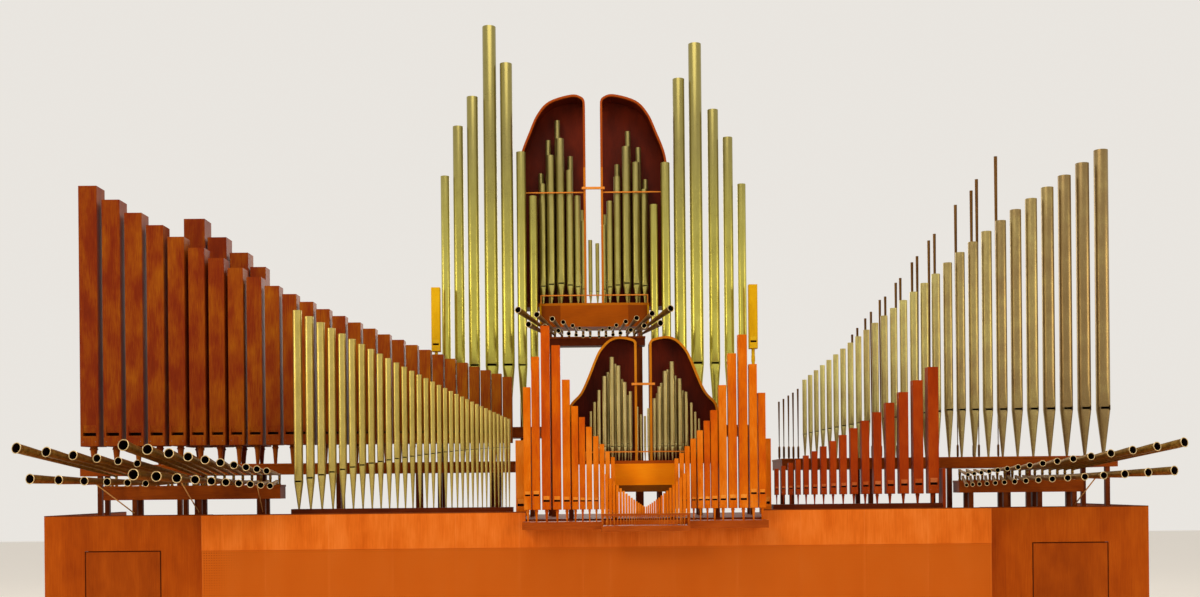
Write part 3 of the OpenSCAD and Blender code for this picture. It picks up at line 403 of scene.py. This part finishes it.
def wood_rank(name, node, material, seed=1.0, spread=0.05, lean=0.0, stain=0.0, lip_highlight=0.3,
              opening=0.24):
    """Every pipe of a node as a tube of 15 rings x 20 points, all worked out at once. The section is the
    CAD pipe's rectangle with eased corners; over the mouth's height its front points are pushed in to make
    the slot, and above it they slope back out to the front board. Caps and feet are further tubes. The tone
    is stain, one value or one for each pipe from the left, plus a fixed random part of spread and lean for
    the smallest pipe. opening is the slot's height as a part of the pipe's width."""
    touch = 1e-4
    found = solids(node)
    lo, hi = np.array([v.min(0) for v in found]), np.array([v.max(0) for v in found])
    mid, w, d = (lo + hi) / 2, hi[:, 0] - lo[:, 0], hi[:, 1] - lo[:, 1]
    n, top = len(found), hi[:, 2]
    on_side = [v[np.abs(v[:, 0] - v[:, 0].max()) < touch, 2] for v in found]
    block = np.array([z.min() for z in on_side])
    on_front = [v[(np.abs(v[:, 1] - v[:, 1].min()) < touch) & (np.abs(v[:, 0] - x) < 0.47 * q), 2]
                for v, x, q in zip(found, mid[:, 0], w)]
    mouth_z = np.array([z.min() if len(z) else b + 0.1 for z, b in zip(on_front, block)])
    slot_top = mouth_z + w * opening
    lip_top = slot_top + w * 0.42
    e = np.minimum(0.006, w * 0.05)
    front, side = (-.5, -.36, -.34, -.12, .12, .34, .36, .5), (-.5, -.17, .17, .5)
    unit = np.array([(x, -.5) for x in front] + [(.5, y) for y in side] + [(-x, .5) for x in side]
                    + [(-.5, -y) for y in side])
    ease = np.zeros((20, 2))
    ease[[0, 7, 8, 11, 12, 15, 16, 19]] = (1, 0), (-1, 0), (0, 1), (0, -1), (-1, 0), (1, 0), (0, -1), (0, 1)
    ring = unit[None] * np.stack([w, d], -1)[:, None] + ease[None] * e[:, None, None]
    rows = [(block, .94), (block + e, 1), (mouth_z - .002, 1), (mouth_z, 1), (mouth_z + .001, 1),
            (slot_top - .001, 1), (slot_top, 1), (lip_top, 1), (lip_top + .003, 1), (top - e, 1),
            (top, .985), (top, .97), (top, .84), (top - .004, .82), (top - .3 * w - .1, .80)]
    in_slot, on_lip, within = slice(4, 6), slice(6, 8), slice(13, None)
    tube = np.empty((n, len(rows), len(unit), 3))
    for i, (z, k) in enumerate(rows):
        tube[:, i, :, :2] = mid[:, None, :2] + ring * k
        tube[:, i, :, 2] = z[:, None]
    mouth = (np.abs(unit[:, 0]) < 0.35) & (unit[:, 1] < -0.4)
    tube[:, in_slot, mouth, 1] += 0.42 * d[:, None, None]
    tube[:, on_lip.start, mouth, 1] += 0.07 * w[:, None]
    shade = np.zeros(tube.shape[:3])
    shade[:, in_slot, mouth] = 1.0
    shade[:, within] = 1.0
    size = (w.max() - w) / max(w.max() - w.min(), 0.001)
    own = (stain + scatter(n, seed, spread) + lean * size)[:, None, None]
    tone = np.broadcast_to(own, shade.shape).copy()
    # Painted highlight: the lip above the slot is drawn lighter, for the light that falls on it.
    tone[:, on_lip, mouth] = lip_highlight
    proud = np.minimum(0.012, 0.06 * w)
    cap_top, cap_back = mouth_z - 0.10 * w, lo[:, 1] + 0.001
    caps = boards(np.stack([lo[:, 0] + e, lo[:, 1] - proud, block + e], -1),
                  np.stack([hi[:, 0] - e, cap_back, cap_top], -1), 0.004)
    wedges = boards(np.stack([mid[:, 0] - 0.36 * w, lo[:, 1] - 0.6 * proud, cap_top], -1),
                    np.stack([mid[:, 0] + 0.36 * w, cap_back, mouth_z - 0.012 * w], -1), 0.002)
    turn = np.linspace(0, 2 * np.pi, 16, endpoint=False)
    along = np.array([0, .06, .5, .82, .84, .90, .92, 1.0])[::-1]
    swell = np.array([.50, .56, .76, .94, 1.12, 1.12, .98, 1.0])[::-1] * 0.2
    foot_r = (w[:, None] * swell)[:, :, None]
    foot = np.empty((n, len(along), len(turn), 3))
    foot[..., 0] = mid[:, 0, None, None] - foot_r * np.sin(turn)
    foot[..., 1] = mid[:, 1, None, None] - foot_r * np.cos(turn)
    foot[..., 2] = (lo[:, 2, None] + (block - lo[:, 2])[:, None] * along)[:, :, None]
    for sign in (-1, 1):
        screw_heads.append(np.stack([mid[:, 0] + sign * 0.34 * w, lo[:, 1] - proud,
                                     block + 0.45 * (mouth_z - block), np.maximum(0.005, 0.022 * w)], -1))
    return skin(name, [tube, caps, wedges, foot], material, node=(node,),
                tones=[tone, 0.5 * own + 0.06, 0.5 * own + 0.10, own + 0.06], shades=[shade, 0.0, 0.0, 0.0])


bass_pine = timber("bass_pine_stained", [(0.28, "#581a06"), (0.5, "#762606"), (0.64, "#8c4206"),
                   (0.78, "#a05c08")], gloss=0.46)
flute_pine = timber("flute_pine_stained", [(0.28, "#7a2202"), (0.5, "#963202"), (0.68, "#aa4408"),
                    (0.9, "#cc7440")], grain_mm=7)
flame_pine = timber("positive_pine_lacquered", [(0.3, "#a23a02"), (0.45, "#bc4c02"), (0.62, "#d46a00"),
                    (0.95, "#f4a03c")], grain_mm=6)
amber_maple = timber("amber_maple_lacquered", [(0.28, "#c48c04"), (0.5, "#dcaa0a"), (0.72, "#e8bc20")],
                     grain_mm=7)
wood_rank("left_wood_rank", "left_wood_pipes", bass_pine, seed=1.0, spread=0.03,
          lean=0.16, lip_highlight=0.08, opening=0.18)
wood_rank("right_flute_rank", "right_wood_pipes", flute_pine, seed=2.0, spread=0.04)
wood_rank("amber_pair", "yellow_pipes", amber_maple, seed=3.0)
stains = np.array([.10, .0, -.08, -.03, .06, .04, .0, .14, .13, .13, .17, .12,
                   .12, .12, .10, .10, .15, -.02, .02, .14, .07, .05, .12, .02])
wood_rank("positive_wood_rank", "positive_wood_pipes", flame_pine, seed=4.0, spread=0.01,
          stain=stains)
wood_rank("positive_outer_pair", "positive_outer_pipes", flame_pine, spread=0.0,
          stain=0.15)
wood_rank("positive_front_row", "positive_front_pipes", flame_pine, seed=6.0, spread=0.03,
          stain=0.12)
dress(flute_pine, "right_toeboard_end")

heads = np.concatenate(screw_heads)
turn = np.linspace(0, 2 * np.pi, 8, endpoint=False)
domes = np.empty((len(heads), 3, len(turn), 3))
for i, (out, k) in enumerate(((0.001, 1.0), (-0.002, 0.9), (-0.004, 0.4))):
    domes[:, i, :, 0] = heads[:, :1] + heads[:, 3:] * k * np.cos(turn)
    domes[:, i, :, 1] = heads[:, 1:2] + out
    domes[:, i, :, 2] = heads[:, 2:3] + heads[:, 3:] * k * np.sin(turn)
skin("cap_screws", [domes], steel)


# Metal flue pipes. Planed tin alloy, rolled into tubes and soldered to conical feet. The metal is pressed
# flat below and above the mouth, the upper flat runs out to a point, and two soldered ears flank the mouth.
# It shines softly, with faint spots and fine lines along the pipe, and painted shade darkens the highest
# metal.
def tin(name, stops, gloss=0.33, dull=()):
    """Tin alloy: fine planing along the pipe, faint cloudy spots 20 mm across, painted shade inside the
    mouth and the open top. gloss is its roughness. dull is two heights and a colour: between them the metal
    turns to that colour, a painted shade."""
    m, t, s = blank(name)
    s.inputs["Metallic"].default_value = 0.85
    where = add(t, "TexCoord").outputs["Object"]
    planed = add(t, "Mapping", {"Vector": where, "Scale": (260, 260, 9)})
    planed = add(t, "TexNoise", {"Vector": planed.outputs[0], "Scale": 1.0, "Detail": 3.0})
    spots = add(t, "TexNoise", {"Vector": where, "Scale": 50.0, "Detail": 4.0, "Roughness": 0.6})
    clouds = add(t, "TexNoise", {"Vector": where, "Scale": 2.2, "Detail": 2.0})
    both = add(t, "Math", {0: planed.outputs["Fac"], 1: spots.outputs["Fac"]}, operation="ADD")
    both = add(t, "Math", {0: both.outputs[0], 1: clouds.outputs["Fac"]}, operation="ADD")
    both = add(t, "Math", {0: both.outputs[0], 1: 1 / 3}, operation="MULTIPLY")
    piece = add(t, "Attribute", attribute_name="tone")
    both = add(t, "Math", {0: both.outputs[0], 1: piece.outputs["Fac"]}, operation="ADD")
    inside = add(t, "Attribute", attribute_name="shade")
    colour = add(t, "ValToRGB", {"Fac": both.outputs[0]}, stops=stops).outputs["Color"]
    # Painted shade: the metal darkens towards the given colour with height.
    if dull:
        low, high, code = dull
        z = add(t, "SeparateXYZ", {"Vector": where}).outputs["Z"]
        part = add(t, "MapRange", {"Value": z, "From Min": low, "From Max": high, "To Max": 0.8})
        colour = add(t, "Mix", {FACTOR: part.outputs[0], UNDER: colour, OVER: linear(code)},
                     data_type="RGBA").outputs[MIXED]
    deep = add(t, "Mix", {FACTOR: inside.outputs["Fac"], UNDER: colour, OVER: linear("#100a04")},
               data_type="RGBA")
    t.links.new(deep.outputs[MIXED], s.inputs["Base Color"])
    rough = add(t, "MapRange", {"Value": both.outputs[0], "To Min": gloss - 0.07, "To Max": gloss + 0.1})
    rough = add(t, "Math", {0: rough.outputs[0], 1: inside.outputs["Fac"]}, operation="MAXIMUM")
    t.links.new(rough.outputs[0], s.inputs["Roughness"])
    bump = add(t, "Bump", {"Height": planed.outputs["Fac"], "Strength": 0.06, "Distance": 0.002})
    t.links.new(bump.outputs[0], s.inputs["Normal"])
    return m


def metal_rank(name, node, material, seed=1.0, lean=0.0, shield=1.7):
    """Every flue pipe of a node as a tube of 22 rings x 36 points, all worked out at once. Each ring is a
    circle of the CAD pipe's radius, cut by a flat chord in front whose half angle grows towards the mouth
    from below and shrinks to nothing above it. Over the mouth's height the front points are pushed in. The
    tone is a fixed random part plus lean for the smallest pipe. shield is the upper flat's height in
    diameters of the pipe."""
    found = solids(node)
    lo, hi = np.array([v.min(0) for v in found]), np.array([v.max(0) for v in found])
    n, bottom, top = len(found), lo[:, 2], hi[:, 2]
    r = (hi[:, 0] - lo[:, 0]) / 2
    x0, y0 = (lo[:, 0] + hi[:, 0]) / 2, hi[:, 1] - r
    foot = np.array([v[np.hypot(v[:, 0] - x, v[:, 1] - y) > 0.985 * q, 2].min()
                     for v, x, y, q in zip(found, x0, y0, r)])
    points = 36
    turn = (np.arange(points) / points) * 2 * np.pi
    turn = np.where(turn > np.pi, turn - 2 * np.pi, turn)
    widest = math.radians(42)
    toe, h = r * 0.16 + 0.004, foot - bottom
    lip_z = foot + 0.36 * r
    lower_flat = np.minimum(2.3 * r, 0.6 * h)
    upper_flat = 2 * r * shield
    inner = r - np.minimum(0.004, 0.1 * r)
    rows = [(bottom, toe, 0), (bottom + 0.05 * h, toe + (r - toe) * 0.05, 0)]
    rows += [(foot - lower_flat * q, r - (r - toe) * lower_flat * q / h, 1 - q)
             for q in (1.0, 0.7, 0.4, 0.15)]
    rows += [(foot, r, 1), (foot + 0.002, r, 1), (foot + 0.003, r, 1), (lip_z - 0.001, r, 1), (lip_z, r, 1)]
    rows += [(lip_z + upper_flat * q, r, (1 - q) ** 0.8) for q in (0.15, 0.35, 0.55, 0.75, 0.9, 1.0)]
    rows += [((top + lip_z + upper_flat) / 2, r, 0), (top - 0.004, r, 0), (top, r * 0.99, 0),
             (top, inner, 0), (top - 3 * r, inner, 0)]
    below_slot, in_slot = 7, slice(8, 10)
    tube = np.empty((n, len(rows), points, 3))
    front = np.abs(turn) < widest
    for i, (z, q, flat) in enumerate(rows):
        chord = -q[:, None] * math.cos(widest * flat)
        tube[:, i, :, 0] = x0[:, None] + q[:, None] * np.sin(turn)
        tube[:, i, :, 1] = y0[:, None] + np.maximum(-q[:, None] * np.cos(turn), chord)
        tube[:, i, :, 2] = z[:, None]
    tube[:, in_slot, front, 1] = (y0 - 0.12 * r)[:, None, None]
    tube[:, below_slot, front, 1] += (0.05 * r)[:, None]
    shade = np.zeros(tube.shape[:3])
    shade[:, in_slot, front] = 1.0
    shade[:, -1] = 1.0
    size = (r.max() - r) / max(r.max() - r.min(), 0.001)
    own = (scatter(n, seed, 0.05) + lean * size)[:, None, None]
    grids, tones, shades = [tube], [own], [shade]
    big = r > 0.035
    if big.any():
        q, x, y, z = r[big], x0[big], y0[big], foot[big]
        thick = np.minimum(0.004, 0.05 * q)
        for sign in (-1, 1):
            ear = x + sign * 0.70 * q
            ears = boards(np.stack([ear - thick / 2, y - 0.95 * q, z - 0.15 * q], -1),
                          np.stack([ear + thick / 2, y - 0.66 * q, z + 0.36 * q + 0.2 * q], -1), 0.001)
            grids.append(ears)
            tones.append(0.0)
            shades.append(0.0)
    return skin(name, grids, material, node=(node,), sharp=38, tones=tones, shades=shades)


left_tin = tin("left_rank_spotted_metal", [(0.3, "#a29046"), (0.5, "#beaa5a"), (0.7, "#d4c274")])
right_tin = tin("right_rank_spotted_metal", [(0.3, "#7e663e"), (0.5, "#927a4e"), (0.68, "#ac9a60"),
                (0.9, "#ccc47a")])
# Painted shade: the high tower and upper-case tin darkens to this colour, where less light reaches it.
painted_top_shade = parapet_z + 3.6, parapet_z + 7.6, "#8a7e50"
tower_tin = tin("tower_rank_tin", [(0.3, "#aaa03e"), (0.5, "#c8c054"), (0.7, "#dcd66e")], gloss=0.28,
                dull=painted_top_shade)
case_tin = tin("case_rank_tin", [(0.3, "#a6945a"), (0.5, "#c4b474"), (0.7, "#dacc92")])
upper_tin = tin("upper_rank_tin", [(0.3, "#a09644"), (0.5, "#c4ba60"), (0.7, "#dcd47c")], dull=painted_top_shade)
metal_rank("left_metal_rank", "left_metal_pipes", left_tin, seed=1.0, shield=2.0)
metal_rank("right_metal_rank", "right_metal_pipes", right_tin, seed=2.0, lean=0.3, shield=2.0)
metal_rank("tower_rank", "tower_pipes", tower_tin, seed=3.0, shield=1.5)
metal_rank("upper_case_rank", "upper_pipes", upper_tin, seed=4.0)
metal_rank("positive_metal_rank", "positive_metal_pipes", case_tin, seed=5.0)


# Reeds behind the right basses. Slender tapered resonators of dull brown metal, soldered into cylinder
# boots that stand in one row on the rear board of the same chest. They have only a dull brown sheen.
reed_metal = tin("reed_resonator_dull", [(0.3, "#54340e"), (0.5, "#6e4a1e"), (0.7, "#86602e")], gloss=0.42)
dress(reed_metal, "right_reeds")


# Horizontal trumpets. Dull brass tubes that flare to a rolled bright rim, each fed by an upright boot on
# its chest. Thin bright rods brace the outermost tubes of the lower rows from the feet of the posts. Age
# has mottled the brass, and only the rims and rods stay bright.
brass, t, s = blank("trumpet_brass_aged")
s.inputs["Metallic"].default_value = 0.8
where = add(t, "TexCoord").outputs["Object"]
tarnish = add(t, "TexNoise", {"Vector": where, "Scale": 14.0, "Detail": 5.0, "Roughness": 0.65})
rim = add(t, "Attribute", attribute_name="tone")
mix = add(t, "Math", {0: tarnish.outputs["Fac"], 1: rim.outputs["Fac"]}, operation="ADD")
inside = add(t, "Attribute", attribute_name="shade")
colour = add(t, "ValToRGB", {"Fac": mix.outputs[0]},
             stops=[(0.3, "#72521e"), (0.5, "#96722e"), (0.72, "#b08c44"), (0.9, "#e6cc98")])
deep = add(t, "Mix", {FACTOR: inside.outputs["Fac"], UNDER: colour.outputs["Color"],
                      OVER: linear("#260a04")}, data_type="RGBA")
t.links.new(deep.outputs[MIXED], s.inputs["Base Color"])
rough = add(t, "MapRange", {"Value": tarnish.outputs["Fac"], "To Min": 0.3, "To Max": 0.5})
rough = add(t, "Math", {0: rough.outputs[0], 1: inside.outputs["Fac"]}, operation="MAXIMUM")
t.links.new(rough.outputs[0], s.inputs["Roughness"])
root_r, slim_part = 0.022, 0.84


def trumpet_rank(name, node):
    """Every trumpet of a node as a tube of 17 rings x 24 points. The rings stand square to the line from
    the boot to the bell, whose far end is the mean of the CAD bell's rim. The radius grows slowly, flares
    in the last part, and rolls back at the rim. Returns the roots, the tips and the bells' radii."""
    sleeve_r, boot_r, seat = 0.026, 0.030, 0.0001
    found = solids(node)
    n = len(found)
    rear = [v[v[:, 1] > v[:, 1].max() - seat] for v in found]
    boot = np.array([[v[:, 0].mean(), v[:, 1].max() - boot_r, v[:, 2].min()] for v in rear])
    tops = np.array([v[:, 2].max() for v in rear])
    root = np.stack([boot[:, 0], boot[:, 1], tops - sleeve_r], -1)
    tip, wide = np.empty((n, 3)), np.empty(n)
    for i, v in enumerate(found):
        end = v[np.argmax(np.linalg.norm(v - root[i], axis=1))]
        for _ in range(3):
            u = (end - root[i]) / np.linalg.norm(end - root[i])
            reach = (v - root[i]) @ u
            rim_points = v[reach > reach.max() - 0.012]
            end = (rim_points.min(0) + rim_points.max(0)) / 2
        tip[i] = end
        wide[i] = np.linalg.norm(rim_points - end, axis=1).max()
    axis = tip - root
    length = np.linalg.norm(axis, axis=1)
    axis /= length[:, None]
    side = np.cross(axis, [0, 0, 1.0])
    side /= np.linalg.norm(side, axis=1)[:, None]
    up = np.cross(side, axis)
    bell, slim, bead = length * 0.05 + wide * 0.6, wide * slim_part, np.minimum(0.016, 0.18 * wide)
    sleeve = 0 * wide + sleeve_r
    body = lambda q: root_r + (slim - root_r) * q
    flare = lambda q: slim + (wide - bead - slim) * q ** 1.6
    rings = [
        (0 * length, sleeve), (0 * length + 0.05, sleeve), (0 * length + 0.052, 0 * wide + root_r),
        (0.35 * (length - bell), body(0.35)), (0.7 * (length - bell), body(0.7)), (length - bell, slim),
        (length - 0.75 * bell, flare(0.25)), (length - 0.45 * bell, flare(0.55)),
        (length - 0.02 - bead, flare(0.96)), (length - bead - 0.004, wide - 0.35 * bead),
        (length - 0.5 * bead, wide - 0.0005), (length, wide - 0.45 * bead),
        (length - 0.3 * bead, wide - bead), (length - bead, wide - 1.05 * bead),
        (length - 0.4 * bell, slim - 0.003), (length - bell, slim - 0.004),
        (0.6 * length, np.maximum(body(0.6) - 0.004, 0.006))]
    on_rim, within = slice(9, 13), slice(13, None)
    turn = np.linspace(0, 2 * np.pi, 24, endpoint=False)
    a, q = (np.stack(v, 1)[:, :, None, None] for v in zip(*rings))
    across = np.cos(turn)[:, None] * side[:, None, None] + np.sin(turn)[:, None] * up[:, None, None]
    horn = root[:, None, None] + a * axis[:, None, None] + q * across
    shade, tone = np.zeros(horn.shape[:3]), np.zeros(horn.shape[:3])
    shade[:, within] = 1.0
    tone[:, on_rim] = 0.42
    around = np.linspace(0, 2 * np.pi, 16, endpoint=False)
    swell = np.array([.030, .030, .022, .026, .030, .030, .026, .028])
    rise = np.array([0, .1, .12, .55, .57, .63, .65, 1.0])
    socket = np.empty((n, len(rise), len(around), 3))
    socket[..., 0] = boot[:, 0, None, None] + swell[None, :, None] * np.cos(around)
    socket[..., 1] = boot[:, 1, None, None] + swell[None, :, None] * np.sin(around)
    socket[..., 2] = (boot[:, 2, None] + (tops - boot[:, 2])[:, None] * rise)[:, :, None]
    skin(name, [horn[:, :, ::-1], socket], brass, node=(node,), sharp=40,
         tones=[tone[:, :, ::-1], 0.0], shades=[shade[:, :, ::-1], 0.0])
    return root, tip, wide


horns = {"left": trumpet_rank("left_trumpet_fan", "left_trumpets"),
         "right": trumpet_rank("right_trumpet_fan", "right_trumpets")}
trumpet_rank("centre_trumpet_fan", "centre_trumpets")


def rod(start, end, r):
    """A round rod between two points as a tube of 4 rings x 10 points, with its ends drawn in."""
    start, end = np.array(start), np.array(end)
    u = (end - start) / np.linalg.norm(end - start)
    side = np.cross(u, [0, 1.0, 0])
    side /= np.linalg.norm(side)
    up = np.cross(side, u)
    turn = np.linspace(0, 2 * np.pi, 10, endpoint=False)
    circle = np.cos(turn)[:, None] * side + np.sin(turn)[:, None] * up
    return np.stack([start + 0.6 * r * circle, start + 0.3 * r * u + r * circle,
                     end - 0.3 * r * u + r * circle, end + 0.6 * r * circle])[None, :, ::-1]


stay_brass = tin("stay_rod_brass_bright", [(0.3, "#cc9450"), (0.5, "#e2ac64"), (0.7, "#f2c480")], gloss=0.4)
stay_r, post_front, fan_from, up_the_horn = 0.013, 0.54, 5.5, 0.22
stays = []
for side, sign, leans in (("left", -1, (0.60, 0.20, 0.05)), ("right", 1, (0.28,))):
    root, tip, wide = horns[side]
    low = root[:, 2] < root[:, 2].mean()
    middles = [round(v[:, 0].mean(), 3) for v in solids("trestle_posts")
               if abs(v[:, 1].min() - post_front) < 0.01 and sign * v[:, 0].mean() > fan_from]
    posts = sorted(set(middles), key=lambda x: -abs(x))
    spots = root[low] + up_the_horn * (tip[low] - root[low])
    spots[:, 2] -= root_r + up_the_horn * (wide[low] * slim_part - root_r)
    for x, lean in zip(posts, leans):
        spot = spots[np.argmin(np.abs(spots[:, 0] - x - sign * lean))]
        stays.append(rod((x, post_front - 0.01, parapet_z + 0.03), spot, stay_r))
skin("trumpet_stays", stays, stay_brass)


# Upper case. Two arched wings of dark stained board behind bright lacquered rims, thin rails that steady
# the pipes, and a chest whose front is a deep orange panel with a paler moulding and two amber end strips.
# The boards look almost matt, and the lacquered rims shine a little against them.
case_board = timber("case_board_dark_stain", [(0.3, "#3c0e02"), (0.5, "#561604"), (0.7, "#6c2008")],
                    grain_mm=8, gloss=0.5, level=0.12)
dress(case_board, "upper_wings", "positive_wings")
rim_wood = timber("case_rim_lacquered", [(0.28, "#a0580a"), (0.5, "#bc700e"), (0.72, "#ce8820")],
                  grain_mm=5)
arch_wood = timber("case_arch_lacquered", [(0.28, "#a0500a"), (0.5, "#bc660e"), (0.72, "#ce7e20")],
                   grain_mm=5)
rail_wood = timber("case_rail_lacquered", [(0.28, "#c06818"), (0.5, "#da8430"), (0.72, "#ea9a48")],
                   grain_mm=5, axis="x")
inlay(arch_wood, band(arch_wood, "Z", parapet_z + 7.3, parapet_z + 10), "#8c2c06", 0.75)
dress(arch_wood, "upper_rims")
dress(rim_wood, "positive_rims")
dress(rail_wood, "upper_rails", "positive_rails")
chest_end, _, chest_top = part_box("upper_chest")[1]
shaded_facet_x, strip_w, moulding = 0.725, 0.04, 0.05
upper_panel = timber("upper_chest_panel_lacquered", [(0.28, "#8c4002"), (0.5, "#a44e02"),
                     (0.72, "#b65e08")], grain_mm=8, axis="x")
# Painted shade: the ends of the flat chest front are drawn darker, for the angled end facets of the chest
# that fall in shade.
for sign in (-1, 1):
    shaded_facet = sorted((sign * shaded_facet_x, sign * (chest_end - strip_w)))
    strip = sorted((sign * (chest_end - strip_w), sign * (chest_end + 0.005)))
    inlay(upper_panel, band(upper_panel, "X", *shaded_facet), "#783402", 0.75)
    inlay(upper_panel, band(upper_panel, "X", *strip), "#d8a010", 0.9)
inlay(upper_panel, band(upper_panel, "Z", chest_top - moulding, chest_top + 0.01), "#b86808", 0.8)
dress(upper_panel, "upper_chest")


# Lower positive, hung on the parapet: shelves of stained beech for the wood pipes, a front rail, a chest
# with a bright lacquered panel between a red-brown top board and a dark bottom board, and its side boards.
# The stained beech is dull, and the panel is the brightest wood of the front.
shelf_beech = timber("positive_shelf_beech_stained", [(0.3, "#883808"), (0.5, "#a2480e"), (0.7, "#b8581a")],
                     axis="x")
dress(shelf_beech, "positive_shelves", "positive_front_rail")
(_, _, chest_bottom), (_, _, chest_top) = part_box("positive_chest")
top_board, bottom_board = 0.06, 0.13
bright_panel = timber("positive_chest_panel_lacquered", [(0.28, "#ee7a02"), (0.5, "#fa8c02"),
                      (0.72, "#ff9e10")], grain_mm=8, axis="x")
upper_band = band(bright_panel, "Z", chest_top - top_board, chest_top + 0.01)
inlay(bright_panel, upper_band, "#8e2e06", 0.85)
lower_band = band(bright_panel, "Z", chest_bottom - 0.01, chest_bottom + bottom_board)
inlay(bright_panel, lower_band, "#3c1c04", 0.85)
dress(bright_panel, "positive_chest")
dress(chest_pine, "positive_side_boards")
